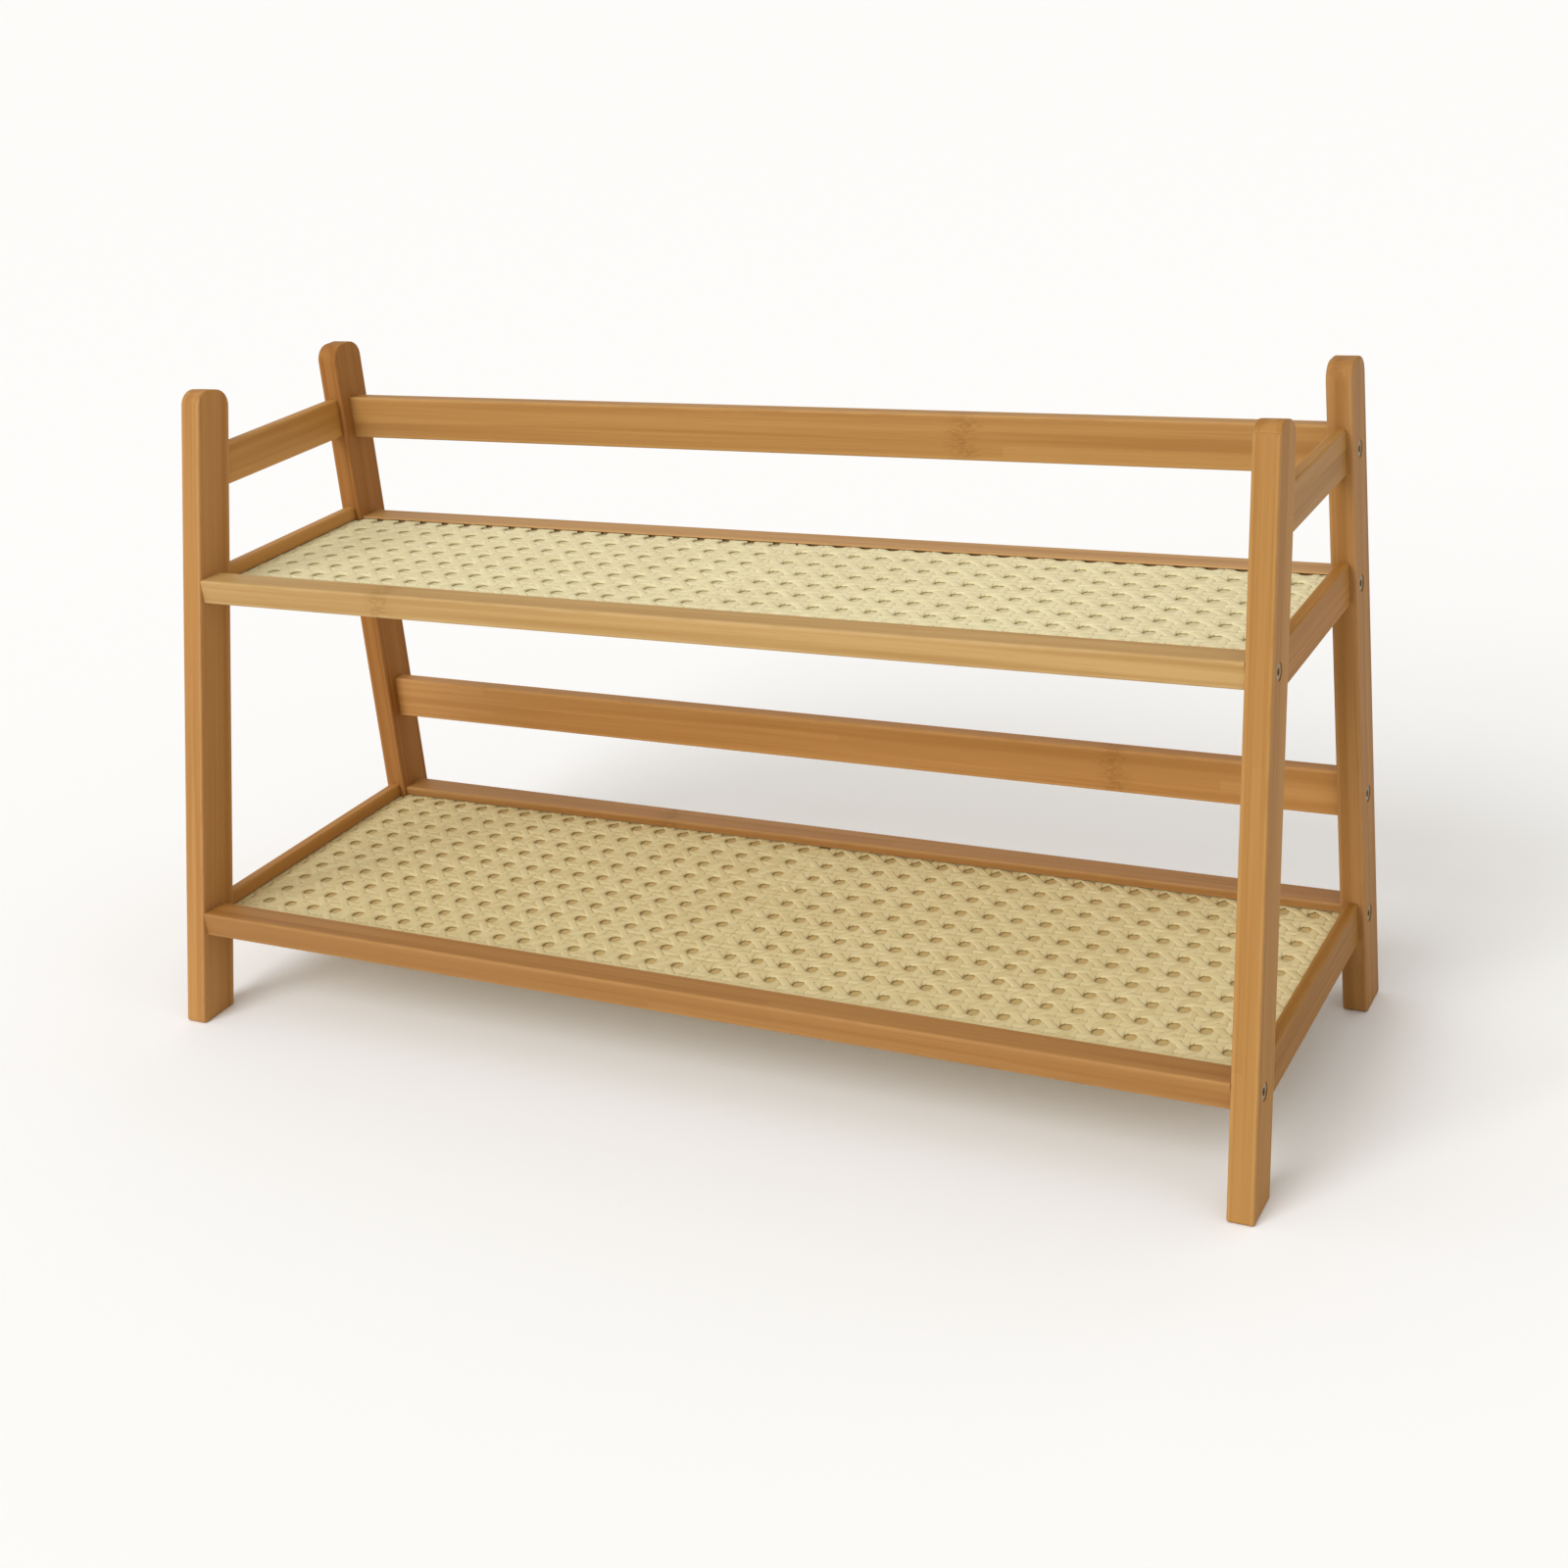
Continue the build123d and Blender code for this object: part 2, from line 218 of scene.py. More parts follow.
def makeBambooGroup():
    group, given, result = startGroup(
        "bambooLaminate",
        {"Vector": "Vector", "Strip Width": "Float", "Strip Length": "Float", "Culm Place": "Float"},
        ("Strip Tone", "Fibre", "Streak", "Culm Node", "Glue Line", "Pores"),
    )
    vector = given["Vector"]
    split = group.nodes.new("ShaderNodeSeparateXYZ")
    group.links.new(vector, split.inputs[0])
    # each strip has a number, and each length of it a tone
    across = mathNode(group, "DIVIDE", split.outputs["Y"], given["Strip Width"])
    deep = mathNode(group, "DIVIDE", split.outputs["Z"], given["Strip Width"])
    layer = mathNode(group, "MULTIPLY", mathNode(group, "FLOOR", deep), bambooGrain["layerStep"])
    index = mathNode(group, "ADD", mathNode(group, "FLOOR", across), layer)
    ends = group.nodes.new("ShaderNodeTexWhiteNoise")
    ends.noise_dimensions = "1D"
    group.links.new(index, ends.inputs["W"])
    stagger = mathNode(group, "MULTIPLY", ends.outputs["Value"], bambooGrain["stagger"])
    along = mathNode(group, "DIVIDE", split.outputs["X"], given["Strip Length"])
    along = mathNode(group, "FLOOR", mathNode(group, "ADD", along, stagger))
    pair = group.nodes.new("ShaderNodeCombineXYZ")
    group.links.new(index, pair.inputs["X"])
    group.links.new(along, pair.inputs["Y"])
    tone = group.nodes.new("ShaderNodeTexWhiteNoise")
    tone.noise_dimensions = "2D"
    group.links.new(pair.outputs["Vector"], tone.inputs["Vector"])
    group.links.new(tone.outputs["Value"], result["Strip Tone"])
    # fine fibres, broader streaks and short dark pores
    pores = noiseNode(group, vector, **bambooGrain["pores"])
    group.links.new(noiseNode(group, vector, **bambooGrain["fibre"]), result["Fibre"])
    group.links.new(noiseNode(group, vector, **bambooGrain["streak"]), result["Streak"])
    group.links.new(rangeNode(group, pores, bambooGrain["poreSpan"]), result["Pores"])
    # culm node: a ragged band across the strips with a fine line in it
    wander = noiseNode(group, vector, **culmNode["wander"])
    sway = mathNode(group, "MULTIPLY", mathNode(group, "SUBTRACT", wander, 0.5), culmNode["sway"])
    offset = mathNode(group, "SUBTRACT", split.outputs["X"], given["Culm Place"])
    away = mathNode(group, "ABSOLUTE", mathNode(group, "ADD", offset, sway))
    band = rangeNode(group, away, culmNode["bandSpan"], (1.0, 0.0))
    flecks = noiseNode(group, vector, **culmNode["flecks"])
    ragged = mathNode(group, "MULTIPLY", band, rangeNode(group, flecks, culmNode["fleckSpan"]))
    line = rangeNode(group, away, culmNode["lineSpan"], (culmNode["lineDepth"], 0.0))
    group.links.new(mathNode(group, "MAXIMUM", ragged, line), result["Culm Node"])
    # thin glue line between strips
    middle = mathNode(group, "SUBTRACT", mathNode(group, "FRACT", across), 0.5)
    edge = mathNode(group, "ABSOLUTE", middle)
    group.links.new(rangeNode(group, edge, bambooGrain["glueSpan"]), result["Glue Line"])
    return group


# edge wear: how near a point lies to the long edges of a piece, broken up by rubbing
edgeRub = {
    "rub": {"stretch": (45, 260, 260), "detail": 3, "rough": 0.6},
    "rubSpan": (0.3, 0.6),
    "leastRub": 0.45,
    "reach": (0.45, 1.0),  # share of the edge width
}


def makeEdgeGroup():
    group, given, result = startGroup(
        "edgeWear",
        {"Vector": "Vector", "Low": "Vector", "High": "Vector", "Width": "Float"},
        ("Wear",),
    )
    corners = []
    for socket in ("Vector", "Low", "High"):
        split = group.nodes.new("ShaderNodeSeparateXYZ")
        group.links.new(given[socket], split.inputs[0])
        corners.append(split.outputs)
    place, low, high = corners
    inward = [
        mathNode(group, "MINIMUM", mathNode(group, "SUBTRACT", place[axis], low[axis]),
                 mathNode(group, "SUBTRACT", high[axis], place[axis]))
        for axis in ("Y", "Z")
    ]
    near = mathNode(group, "DIVIDE", mathNode(group, "ADD", *inward), given["Width"])
    closeness = rangeNode(group, near, edgeRub["reach"], (1.0, 0.0))
    rub = noiseNode(group, given["Vector"], **edgeRub["rub"])
    rubbed = rangeNode(group, rub, edgeRub["rubSpan"], (edgeRub["leastRub"], 1.0))
    group.links.new(mathNode(group, "MULTIPLY", closeness, rubbed), result["Wear"])
    return group


# blotches on steel, cane and felt
def makeMottleGroup():
    group, given, result = startGroup(
        "mottle",
        {"Vector": "Vector", "Stretch": "Vector", "Detail": "Float", "Roughness": "Float"},
        ("Mottle",),
    )
    spread = group.nodes.new("ShaderNodeVectorMath")
    spread.operation = "MULTIPLY"
    group.links.new(given["Vector"], spread.inputs[0])
    group.links.new(given["Stretch"], spread.inputs[1])
    noise = group.nodes.new("ShaderNodeTexNoise")
    noise.inputs["Scale"].default_value = 1.0
    group.links.new(spread.outputs["Vector"], noise.inputs["Vector"])
    group.links.new(given["Detail"], noise.inputs["Detail"])
    group.links.new(given["Roughness"], noise.inputs["Roughness"])
    group.links.new(noise.outputs["Fac"], result["Mottle"])
    return group


# cane: fine fibres along a strand, and a tone that changes from strand to strand
caneGrain = {
    "fibre": {"stretch": (60, 2600, 300), "detail": 3, "rough": 0.6},
    "strandTone": {"stretch": (6, 210, 10), "detail": 1, "rough": 0.5},
}


def makeCaneGroup():
    group, given, result = startGroup("caneGrain", {"Vector": "Vector"}, ("Fibre", "Strand Tone"))
    fibre = noiseNode(group, given["Vector"], **caneGrain["fibre"])
    strandTone = noiseNode(group, given["Vector"], **caneGrain["strandTone"])
    group.links.new(fibre, result["Fibre"])
    group.links.new(strandTone, result["Strand Tone"])
    return group


bambooGroup = makeBambooGroup()
edgeGroup = makeEdgeGroup()
mottleGroup = makeMottleGroup()
caneGroup = makeCaneGroup()
print("shader groups made")


# bamboo: the shades are shares of a piece's own colour
bambooFinish = {
    "dark": (0.81, 0.74, 0.63),  # streaks and darker strips
    "deep": (0.56, 0.44, 0.3),  # fibres and marks
    "pale": (1.12, 1.2, 1.4),  # rubbed edges
    "streakSpan": (0.3, 0.62),
    "stripSpan": (0.3, 1.0),
    "fibreSpan": (0.45, 0.75),
    "fibreMix": 0.28,
    "marks": {"Pores": 0.25, "Glue Line": 0.22, "Culm Node": 0.5},
    "wearMix": 0.55,
    "wearRough": 0.08,
    "roughSpan": (0.2, 0.8),
    "smoother": 0.07,
    "rougher": 0.09,
    "coatShare": 0.25,
    "coatRough": 0.38,
    "bump": 0.14,
    "bumpDepth": 0.4 * mm,
}


def tinted(colour, tint):
    return tuple(part * share for part, share in zip(colour, tint))


def makeBamboo(name, look):
    finish = bambooFinish
    material, tree, shader = newMaterial(name)
    turned = turnedPlace(tree, objectPlace(tree), look["turn"])
    shift = tree.nodes.new("ShaderNodeVectorMath")
    shift.inputs[1].default_value = look["shift"]
    tree.links.new(turned, shift.inputs[0])
    grain = placeGroup(tree, bambooGroup, shift.outputs["Vector"], {
        "Strip Width": look["strip"],
        "Strip Length": look["stripLength"],
        "Culm Place": look["culm"],
    })
    light = look["colour"]
    dark = tinted(light, finish["dark"])
    deep = tinted(light, finish["deep"])
    pale = tinted(light, finish["pale"])
    streakMix = rangeNode(tree, grain["Streak"], finish["streakSpan"])
    colour = mixColour(tree, streakMix, dark, light)
    stripMix = rangeNode(tree, grain["Strip Tone"], finish["stripSpan"], (0.0, look["stripShade"]))
    colour = mixColour(tree, stripMix, colour, dark)
    fibreMix = rangeNode(tree, grain["Fibre"], finish["fibreSpan"], (0.0, finish["fibreMix"]))
    colour = mixColour(tree, fibreMix, colour, deep)
    for mark, depth in finish["marks"].items():
        colour = mixColour(tree, mathNode(tree, "MULTIPLY", grain[mark], depth), colour, deep)
    roughness = (look["rough"] - finish["smoother"], look["rough"] + finish["rougher"])
    rough = rangeNode(tree, grain["Fibre"], finish["roughSpan"], roughness)
    if "low" in look:  # the dowels have no rubbed edges
        edge = placeGroup(tree, edgeGroup, turned, {
            "Low": look["low"],
            "High": look["high"],
            "Width": look["edgeWidth"],
        })
        wearMix = mathNode(tree, "MULTIPLY", edge["Wear"], finish["wearMix"])
        colour = mixColour(tree, wearMix, colour, pale)
        wearRough = mathNode(tree, "MULTIPLY", edge["Wear"], finish["wearRough"])
        rough = mathNode(tree, "ADD", rough, wearRough)
    tree.links.new(colour, shader.inputs["Base Color"])
    tree.links.new(rough, shader.inputs["Roughness"])
    shader.inputs["Specular IOR Level"].default_value = look["gloss"]
    shader.inputs["Coat Weight"].default_value = finish["coatShare"] * look["gloss"]
    shader.inputs["Coat Roughness"].default_value = finish["coatRough"]
    height = mathNode(tree, "SUBTRACT", grain["Fibre"], grain["Glue Line"])
    addBump(tree, shader, height, finish)
    return material


def dressNode(name, material):
    piece = nodes[name]
    piece.data.materials.clear()
    piece.data.materials.append(material)


def turnedBox(name, turn):
    back = turn.transposed()
    corners = [back @ vertex.co for vertex in nodes[name].data.vertices]
    low = tuple(min(corner[axis] for corner in corners) for axis in range(3))
    high = tuple(max(corner[axis] for corner in corners) for axis in range(3))
    return low, high


# how the strips run: along the length, along a side rail, up a plumb leg or up a leaning one
legLean = math.radians(13.75)
uprightTurn = Matrix.Rotation(math.radians(-90), 3, "Y")
grainTurns = {
    "alongX": Matrix.Identity(3),
    "alongY": Matrix.Rotation(math.radians(90), 3, "Z"),
    "upright": uprightTurn,
    "leaning": Matrix.Rotation(-legLean, 3, "X") @ uprightTurn,
}
honey = (0.49, 0.256, 0.074)  # lacquered bamboo in plain light
offPiece = 9.0  # a culm node here doesn't show
strips = {
    "strip": 6.8 * mm,
    "stripLength": 0.52,
    "stripShade": 0.4,
    "edgeWidth": 2.6 * mm,
    "rough": 0.44,
    "gloss": 0.2,
    "culm": offPiece,
}
stripStep = (0, 1.3 * mm, 1.7 * mm)  # moves the strips on from piece to piece
# a piece's own culm place or gloss takes the place of the common one
# Each tone share is partly the piece's own strip tone and partly painted light and shade: the
# right-hand pieces, the left back leg and the lower shelf's bars are darkened as painted shade, and
# the upper shelf's bars and the lower back rail are paled as a painted sheen.
bambooPieces = {
    "left_front_leg": {"grain": "leaning", "tone": (0.97, 0.95, 1.12), "gloss": 0.04},
    "right_front_leg": {"grain": "leaning", "tone": (0.87, 0.86, 0.9), "gloss": 0.04},
    "left_back_leg": {"grain": "upright", "tone": (0.75, 0.64, 0.62), "gloss": 0.04},
    "right_back_leg": {"grain": "upright", "tone": (0.81, 0.8, 0.95), "gloss": 0.03},
    "left_top_side_rail": {"grain": "alongY", "tone": (1.05, 1.02, 0.92)},
    "right_top_side_rail": {"grain": "alongY", "tone": (0.8, 0.78, 0.72), "gloss": 0.08},
    "left_upper_shelf_side_bar": {"grain": "alongY", "tone": (1.04, 0.99, 0.9)},
    "right_upper_shelf_side_bar": {"grain": "alongY", "tone": (0.77, 0.68, 0.5), "gloss": 0.06},
    "left_lower_shelf_side_bar": {"grain": "alongY", "tone": (1.0, 0.93, 0.84)},
    "right_lower_shelf_side_bar": {"grain": "alongY", "tone": (0.71, 0.65, 0.5), "gloss": 0.06},
    "upper_shelf_front_bar": {"grain": "alongX", "tone": (1.03, 1.24, 1.62), "culm": -0.2},
    "upper_shelf_back_bar": {"grain": "alongX", "tone": (1.02, 1.09, 1.33)},
    "lower_shelf_front_bar": {"grain": "alongX", "tone": (0.8, 0.75, 0.72)},
    "lower_shelf_back_bar": {"grain": "alongX", "tone": (0.84, 0.82, 0.92), "culm": -0.12},
    "upper_shelf_middle_slat": {"grain": "alongX", "tone": (1, 1, 1), "culm": 0.05},
    "lower_shelf_middle_slat": {"grain": "alongX", "tone": (1, 1, 1), "culm": -0.15},
    "top_back_rail": {"grain": "alongX", "tone": (0.92, 0.93, 0.98), "culm": 0.1177},
    "lower_back_rail": {"grain": "alongX", "tone": (1.19, 1.18, 1.33), "culm": 0.1984},
}

for number, (name, piece) in enumerate(bambooPieces.items()):
    turn = grainTurns[piece["grain"]]
    low, high = turnedBox(name, turn)
    look = {
        **strips,
        **piece,
        "turn": turn.to_euler(),
        "low": low,
        "high": high,
        "shift": tuple(number * step for step in stripStep),
        # the tone share brings in painted light and shade along with the piece's own tone
        "colour": tinted(honey, piece["tone"]),
    }
    dressNode(name, makeBamboo("bamboo." + name, look))
print("bamboo dressed,", len(bambooPieces), "pieces")


# fasteners: dark bronze bolts, pale barrel nuts, plain dowels
steelFinish = {
    "blotch": {"Stretch": (900, 900, 900), "Detail": 4, "Roughness": 0.6},
    "wornSpan": (0.35, 0.7),
    "roughSpan": (0.2, 0.8),
    "roughSpread": 0.1,
    "bump": 0.1,
    "bumpDepth": 0.2 * mm,
}


def makeSteel(name, look):
    finish = steelFinish
    material, tree, shader = newMaterial(name)
    blotch = placeGroup(tree, mottleGroup, objectPlace(tree), finish["blotch"])["Mottle"]
    worn = rangeNode(tree, blotch, finish["wornSpan"])
    colour = mixColour(tree, worn, look["base"], look["worn"])
    tree.links.new(colour, shader.inputs["Base Color"])
    shader.inputs["Metallic"].default_value = look["metal"]
    roughness = (look["rough"] - finish["roughSpread"], look["rough"] + finish["roughSpread"])
    rough = rangeNode(tree, blotch, finish["roughSpan"], roughness)
    tree.links.new(rough, shader.inputs["Roughness"])
    addBump(tree, shader, blotch, finish)
    return material


boltLook = {"base": (0.29, 0.22, 0.13), "worn": (0.41, 0.32, 0.2), "metal": 0.65, "rough": 0.48}
nutLook = {"base": (0.55, 0.53, 0.5), "worn": (0.68, 0.66, 0.62), "metal": 1.0, "rough": 0.35}
dowelLook = {
    "shift": (0, 0, 0),
    "turn": (0, 0, 0),
    "strip": 10 * mm,
    "stripLength": 1.0,
    "stripShade": 0.05,
    "culm": offPiece,
    "colour": (0.6, 0.42, 0.23),
    "rough": 0.6,
    "gloss": 0.2,
}
boltSteel = makeSteel("boltBronze", boltLook)
nutSteel = makeSteel("nutZinc", nutLook)
dowelWood = makeBamboo("dowelWood", dowelLook)
for side in ("left", "right"):
    dressNode(side + "_bolts", boltSteel)
    dressNode(side + "_barrel_nuts", nutSteel)
    for kind in ("side_frame", "locating", "slat"):
        dressNode(side + "_" + kind + "_dowels", dowelWood)
print("fasteners dressed")


# tan fibre sheet under the webbing; the lower shelf's sheet is a darker, browner copy of the upper
# one, as painted shade under the upper shelf
sheetLooksLitAndShaded = {
    "upper": {"light": (0.7, 0.64, 0.42), "dark": (0.6, 0.54, 0.33)},
    # painted shade: darker and browner than the upper shelf's sheet
    "lower": {"light": (0.61, 0.46, 0.215), "dark": (0.5, 0.37, 0.16)},
}
sheetFinish = {
    "felt": {"Stretch": (1400, 1400, 1400), "Detail": 4, "Roughness": 0.65},
    "feltSpan": (0.35, 0.65),
    "patch": {"Stretch": (9, 9, 9), "Detail": 2, "Roughness": 0.5},
    "patchSpan": (0.4, 0.7),
    "patchMix": 0.4,
    "roughSpan": (0.2, 0.8),
    "roughness": (0.8, 0.95),
    "gloss": 0.15,
    "bump": 0.3,
    "bumpDepth": 0.2 * mm,
}


def makeSheet(name, look):
    finish = sheetFinish
    material, tree, shader = newMaterial(name)
    place = objectPlace(tree)
    felt = placeGroup(tree, mottleGroup, place, finish["felt"])["Mottle"]
    patch = placeGroup(tree, mottleGroup, place, finish["patch"])["Mottle"]
    feltMix = rangeNode(tree, felt, finish["feltSpan"])
    colour = mixColour(tree, feltMix, look["dark"], look["light"])
    patchMix = rangeNode(tree, patch, finish["patchSpan"], (0.0, finish["patchMix"]))
    colour = mixColour(tree, patchMix, colour, look["dark"])
    tree.links.new(colour, shader.inputs["Base Color"])
    rough = rangeNode(tree, felt, finish["roughSpan"], finish["roughness"])
    tree.links.new(rough, shader.inputs["Roughness"])
    shader.inputs["Specular IOR Level"].default_value = finish["gloss"]
    addBump(tree, shader, felt, finish)
    return material


for shelf, look in sheetLooksLitAndShaded.items():
    dressNode(shelf + "_backing_sheet", makeSheet(shelf + "BackingFibre", look))
print("backing sheets dressed")


# cane for the webbing, one material for each way that the strands run; the two shelves get lit and
# shaded copies of one cane, the lower shelf's darker and browner as painted shade under the upper
# shelf
caneLooksLitAndShaded = {
    "upper": {
        "light": (0.795, 0.735, 0.47),
        "dark": (0.725, 0.65, 0.395),
        "fibre": (0.615, 0.53, 0.295),
        "blotch": (0.75, 0.7, 0.44),
    },
    # painted shade: darker and browner than the upper shelf's cane
    "lower": {
        "light": (0.725, 0.63, 0.36),
        "dark": (0.645, 0.54, 0.28),
        "fibre": (0.55, 0.43, 0.205),
        "blotch": (0.68, 0.595, 0.33),
    },
}
caneFinish = {
    "toneSpan": (0.3, 0.7),
    "fibreSpan": (0.5, 0.8),
    "fibreMix": 0.35,
    "blotch": {"Stretch": (14, 14, 14), "Detail": 2, "Roughness": 0.5},
    "blotchSpan": (0.4, 0.75),
    "blotchMix": 0.3,
    "roughSpan": (0.2, 0.8),
    "roughness": (0.5, 0.66),
    "gloss": 0.3,
    "bump": 0.25,
    "bumpDepth": 0.3 * mm,
}
caneTurns = {"Across": 0, "Along": 90, "Rising": 45, "Falling": -45}


def makeCane(name, turn, look):
    finish = caneFinish
    material, tree, shader = newMaterial(name)
    place = objectPlace(tree)
    turned = turnedPlace(tree, place, (0, 0, math.radians(turn)))
    grain = placeGroup(tree, caneGroup, turned, {})
    blotch = placeGroup(tree, mottleGroup, place, finish["blotch"])["Mottle"]
    toneMix = rangeNode(tree, grain["Strand Tone"], finish["toneSpan"])
    colour = mixColour(tree, toneMix, look["dark"], look["light"])
    fibreMix = rangeNode(tree, grain["Fibre"], finish["fibreSpan"], (0.0, finish["fibreMix"]))
    colour = mixColour(tree, fibreMix, colour, look["fibre"])
    blotchMix = rangeNode(tree, blotch, finish["blotchSpan"], (0.0, finish["blotchMix"]))
    colour = mixColour(tree, blotchMix, colour, look["blotch"])
    tree.links.new(colour, shader.inputs["Base Color"])
    rough = rangeNode(tree, grain["Fibre"], finish["roughSpan"], finish["roughness"])
    tree.links.new(rough, shader.inputs["Roughness"])
    shader.inputs["Specular IOR Level"].default_value = finish["gloss"]
    addBump(tree, shader, grain["Fibre"], finish)
    return material


caneMaterialsLitAndShaded = {
    shelf: {way: makeCane(shelf + "Cane" + way, turn, look) for way, turn in caneTurns.items()}
    for shelf, look in caneLooksLitAndShaded.items()
}
print("cane materials made")


# woven webbing: pairs of strands along and across the shelf, and two sets of diagonals
weave = {
    "pitch": 18.15 * mm,
    "columns": 18,
    "rows": {"upper": 8, "lower": 11},
    "rowShifts": {"upper_webbing_left": 3 * mm, "upper_webbing_right": 8 * mm},  # further back
    "seamLand": 25.7 * mm,  # between the holes on both sides of the seam
    "backLand": 1.4 * mm,  # from the last row of holes to the back bar
    "hole": 7.6 * mm,
    "strand": 5.3 * mm,
    "above": 0.35 * mm,  # a strand's height over its middle line
    "below": 0.85 * mm,
    "shoulder": 0.2,  # height of its edges, as a share of the height above
    "crown": 0.5,  # flat top, as a share of its width
    "pairGap": 0.3 * mm,
    "ripple": 0.22 * mm,
    "diagonalRipple": 0.28 * mm,
    "stepsPerPitch": 8,
    "tuck": 0.8 * mm,  # kept free at the bottom of a groove
    "cornerGap": 0.05 * mm,
    "seamGap": 0.15 * mm,
    "seamShare": 0.4,  # least share of a strand's width from its middle to the seam
    "shortest": 6 * mm,
    "spareDiagonals": 4,
}


def strandProfile():
    curve = bpy.data.curves.new("strandProfile", "CURVE")
    curve.dimensions = "2D"
    spline = curve.splines.new("POLY")
    half, above, below = weave["strand"] / 2, weave["above"], weave["below"]
    crown, shoulder = weave["crown"] * half, weave["shoulder"] * above
    outline = [
        (-half, -below),
        (half, -below),
        (half, shoulder),
        (crown, above),
        (-crown, above),
        (-half, shoulder),
    ]
    spline.points.add(len(outline) - 1)
    for point, (x, y) in zip(spline.points, outline):
        point.co = (x, y, 0, 1)
    spline.use_cyclic_u = True
    profile = bpy.data.objects.new("strandProfile", curve)
    scene.collection.objects.link(profile)
    return profile


def strandFamily(name, paths, profile, material):
    curve = bpy.data.curves.new(name, "CURVE")
    curve.dimensions = "3D"
    curve.twist_mode = "Z_UP"
    curve.bevel_mode = "OBJECT"
    curve.bevel_object = profile
    curve.use_fill_caps = True
    for path in paths:
        spline = curve.splines.new("POLY")
        spline.points.add(len(path) - 1)
        for point, place in zip(spline.points, path):
            point.co = (*place, 1)
    strands = bpy.data.objects.new(name, curve)
    scene.collection.objects.link(strands)
    deselectAll()
    strands.select_set(True)
    bpy.context.view_layer.objects.active = strands
    bpy.ops.object.convert(target="MESH")
    strands = bpy.context.object
    strands.data.materials.clear()
    strands.data.materials.append(material)
    return strands


def steps(low, high, size):
    count = max(2, int(math.ceil((high - low) / size)) + 1)
    return [low + (high - low) * i / (count - 1) for i in range(count)]


def strandPaths(shelf, side):
    node = shelf + "_webbing_" + side
    direction = 1 if side == "right" else -1
    pitch, strand, tuck = weave["pitch"], weave["strand"], weave["tuck"]
    size = pitch / weave["stepsPerPitch"]
    offset = (weave["pairGap"] + strand) / 2
    rows = weave["rows"][shelf]
    low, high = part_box(node)
    level = (low[2] + high[2]) / 2
    y0, y1 = low[1] + tuck, high[1] - tuck
    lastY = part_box(shelf + "_shelf_back_bar")[0][1] - weave["backLand"] - weave["hole"] / 2
    lastY += weave["rowShifts"].get(node, 0)
    # X is counted from the seam here, so the two panels of a shelf mirror each other
    firstX, firstY = weave["seamLand"] / 2, lastY - (rows - 1) * pitch
    legLow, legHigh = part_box(side + "_front_leg")
    legInner = min(abs(legLow[0]), abs(legHigh[0]))
    seamX, cornerX = weave["seamGap"], legInner - weave["cornerGap"]
    # between the legs the strands run on into the groove of the side bar
    corners = [vertex.co for vertex in nodes[node].data.vertices]
    tongue = [corner for corner in corners if abs(corner.x) > legInner + mm]
    tongueX = max(abs(corner.x) for corner in tongue) - tuck
    tongueY0 = min(corner.y for corner in tongue)
    tongueY1 = max(corner.y for corner in tongue)

    def endX(y):
        return tongueX if tongueY0 + strand < y < tongueY1 - strand else cornerX

    def wave(distance, shape, height):
        return level + height * shape(2 * math.pi * distance / pitch)

    def acrossStrands():
        for row in range(rows + 1):
            for way in (-1, 1):
                y = firstY + (row - 0.5) * pitch + way * offset
                if y0 + strand / 2 < y < y1 - strand / 2:
                    yield [
                        (direction * x, y, wave(x - firstX, math.sin, -way * weave["ripple"]))
                        for x in steps(seamX, endX(y), size)
                    ]

    def alongStrands():
        for column in range(weave["columns"] + 1):
            for way in (-1, 1):
                x = firstX + (column - 0.5) * pitch + way * offset
                if seamX + weave["seamShare"] * strand < x < cornerX - strand / 2:
                    yield [
                        (direction * x, y, wave(y - firstY, math.sin, way * weave["ripple"]))
                        for y in steps(y0, y1, size)
                    ]
        # one more strand lies along the side bar, half in its groove
        lastX = direction * (tongueX - strand / 2)
        yield [(lastX, y, level) for y in steps(tongueY0 + tuck, tongueY1 - tuck, size)]

    def diagonalStrands(slope):
        count = int((cornerX + y1 - y0) / pitch) + weave["spareDiagonals"]
        for number in range(-count, count):
            # a strand passes midway between the holes, and would meet Y = 0 at foot
            foot = firstX - slope * firstY + (number + 0.5) * pitch
            nearX, farX = sorted((foot + slope * y0, foot + slope * y1))
            startX, stopX = max(seamX, nearX), min(cornerX, farX)
            if stopX == cornerX:
                stopX = min(endX(slope * (x - foot)) for x in (cornerX, tongueX))
            if stopX - startX > weave["shortest"]:
                height = slope * weave["diagonalRipple"]
                yield [
                    (direction * x, slope * (x - foot), wave(x - firstX, math.cos, height))
                    for x in steps(startX, stopX, size)
                ]

    return {
        "Across": list(acrossStrands()),
        "Along": list(alongStrands()),
        "Rising": list(diagonalStrands(1)),
        "Falling": list(diagonalStrands(-1)),
    }


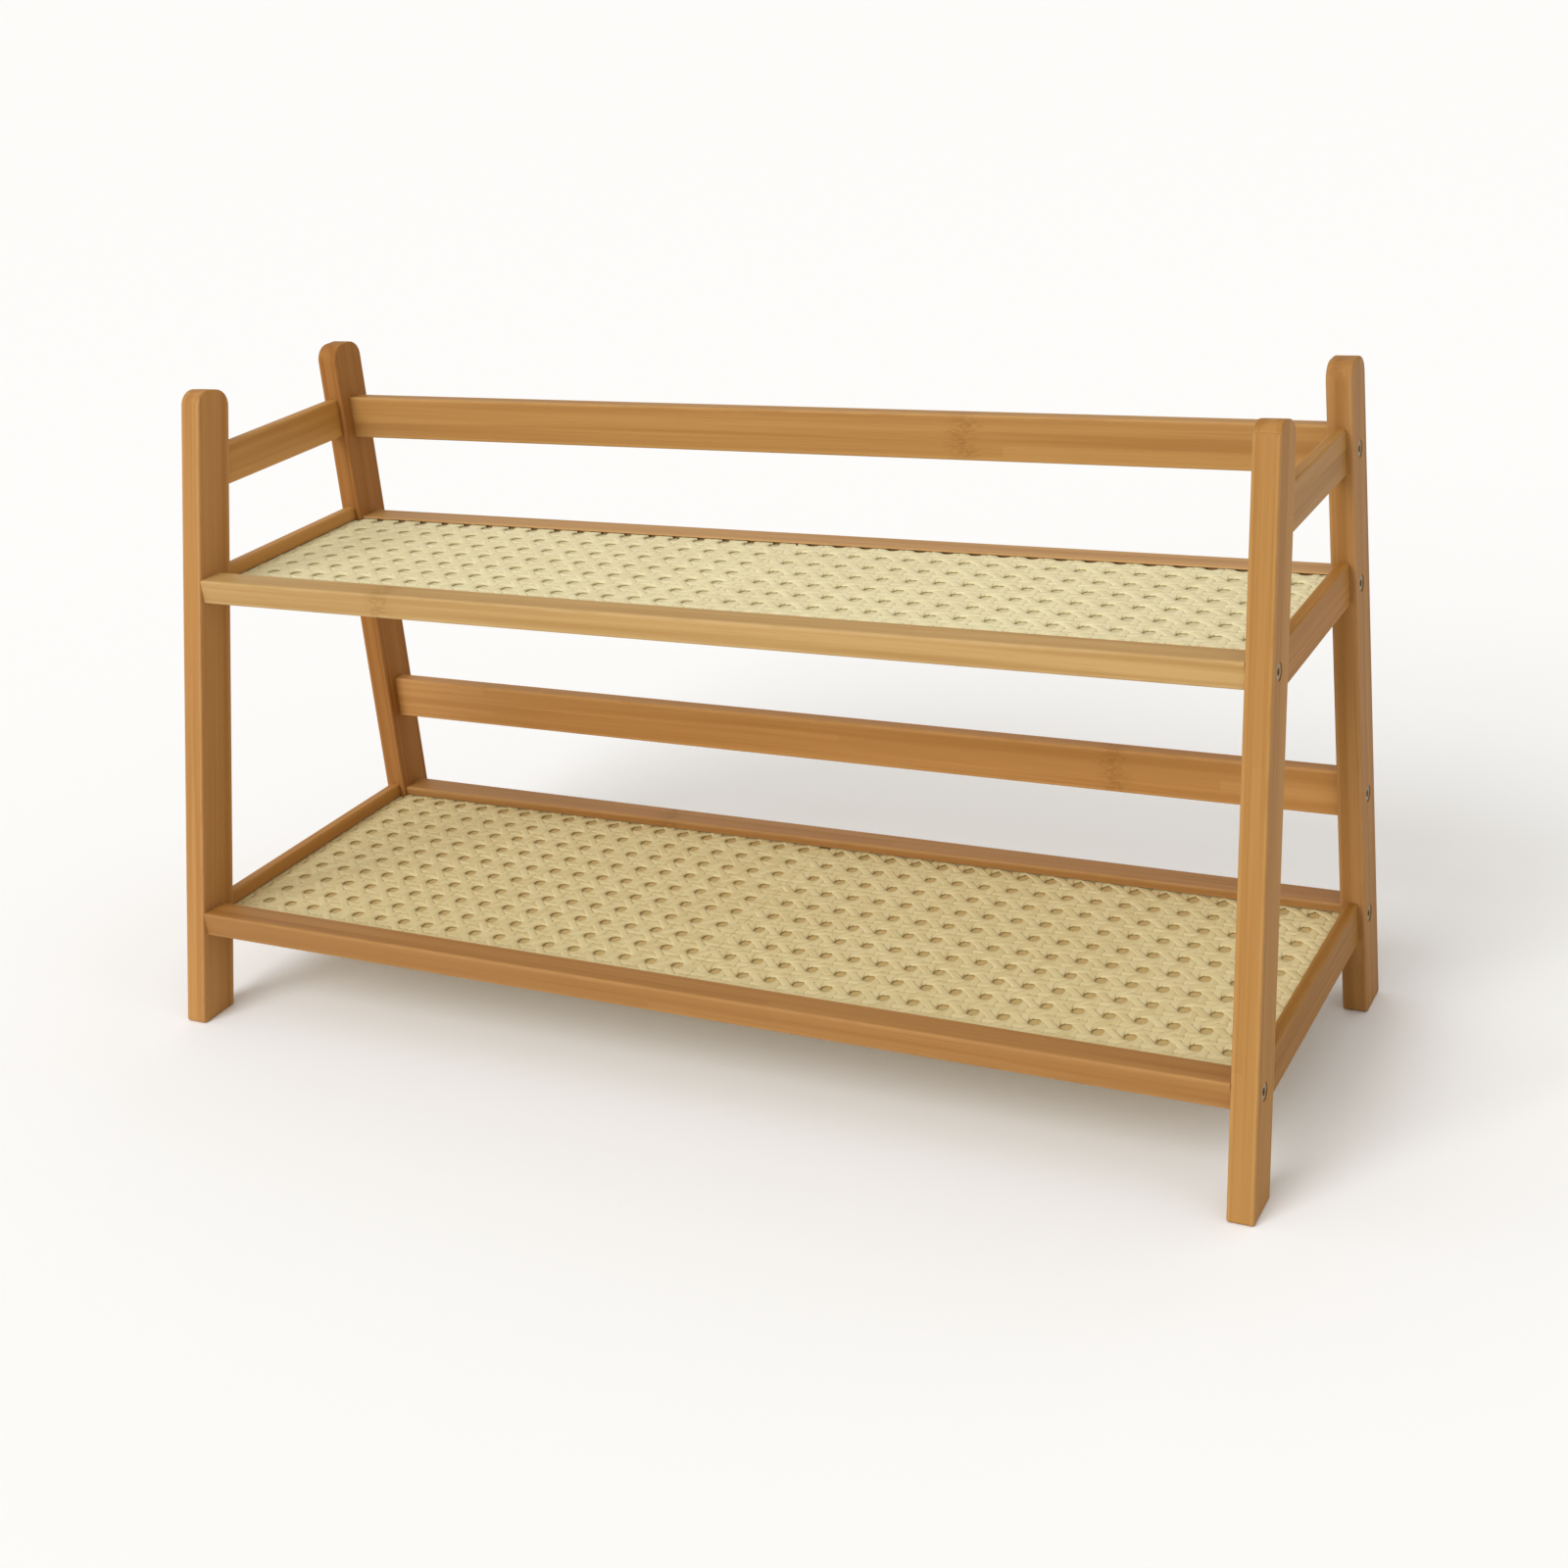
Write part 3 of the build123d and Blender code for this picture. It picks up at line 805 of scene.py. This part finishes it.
def weavePanel(shelf, side, profile):
    node = shelf + "_webbing_" + side
    looks = dict(caneMaterialsLitAndShaded[shelf])
    if side == "left":  # mirrored, so the diagonals lean the other way
        looks["Rising"], looks["Falling"] = looks["Falling"], looks["Rising"]
    families = [
        strandFamily(node + way, paths, profile, looks[way])
        for way, paths in strandPaths(shelf, side).items()
    ]
    deselectAll()
    for family in families:
        family.select_set(True)
    bpy.context.view_layer.objects.active = families[0]
    bpy.ops.object.join()
    panel = bpy.context.object
    panel.name = node + "_weave"
    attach(panel, "root")
    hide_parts(node)
    print(panel.name, len(panel.data.polygons), "faces")


profile = strandProfile()
for shelf in ("upper", "lower"):
    for side in ("left", "right"):
        weavePanel(shelf, side, profile)
bpy.data.objects.remove(profile)


# floor and light
studio = {
    "floorSize": 160,
    "floorColour": (0.945, 0.968, 1.0),
    "floorRough": 0.9,
    "floorGloss": 0.1,
    "skyColour": (1.0, 0.955, 0.885),
    "skyStrength": 0.72,
    "sunFrom": (-0.45, -1.2, 0.95),
    "sunPower": 1.75,
    "sunSpread": 40,
}


def makeFloor():
    deselectAll()
    bpy.ops.mesh.primitive_plane_add(size=studio["floorSize"], location=(0, 0, 0))
    floor = bpy.context.object
    floor.name = "studioFloor"
    material, tree, shader = newMaterial("floorPale")
    feed(tree, shader.inputs["Base Color"], studio["floorColour"])
    shader.inputs["Roughness"].default_value = studio["floorRough"]
    shader.inputs["Specular IOR Level"].default_value = studio["floorGloss"]
    floor.data.materials.append(material)


def makeSky():
    world = bpy.data.worlds.new("studioSky")
    world.use_nodes = True
    scene.world = world
    sky = world.node_tree.nodes["Background"]
    feed(world.node_tree, sky.inputs["Color"], studio["skyColour"])
    sky.inputs["Strength"].default_value = studio["skyStrength"]


def makeSun():
    deselectAll()
    bpy.ops.object.light_add(type="SUN", location=studio["sunFrom"])
    lamp = bpy.context.object
    lamp.name = "softSun"
    lamp.data.energy = studio["sunPower"]
    lamp.data.angle = math.radians(studio["sunSpread"])
    lamp.rotation_euler = Vector(studio["sunFrom"]).to_track_quat("Z", "Y").to_euler()


makeFloor()
makeSky()
makeSun()
print("studio ready")
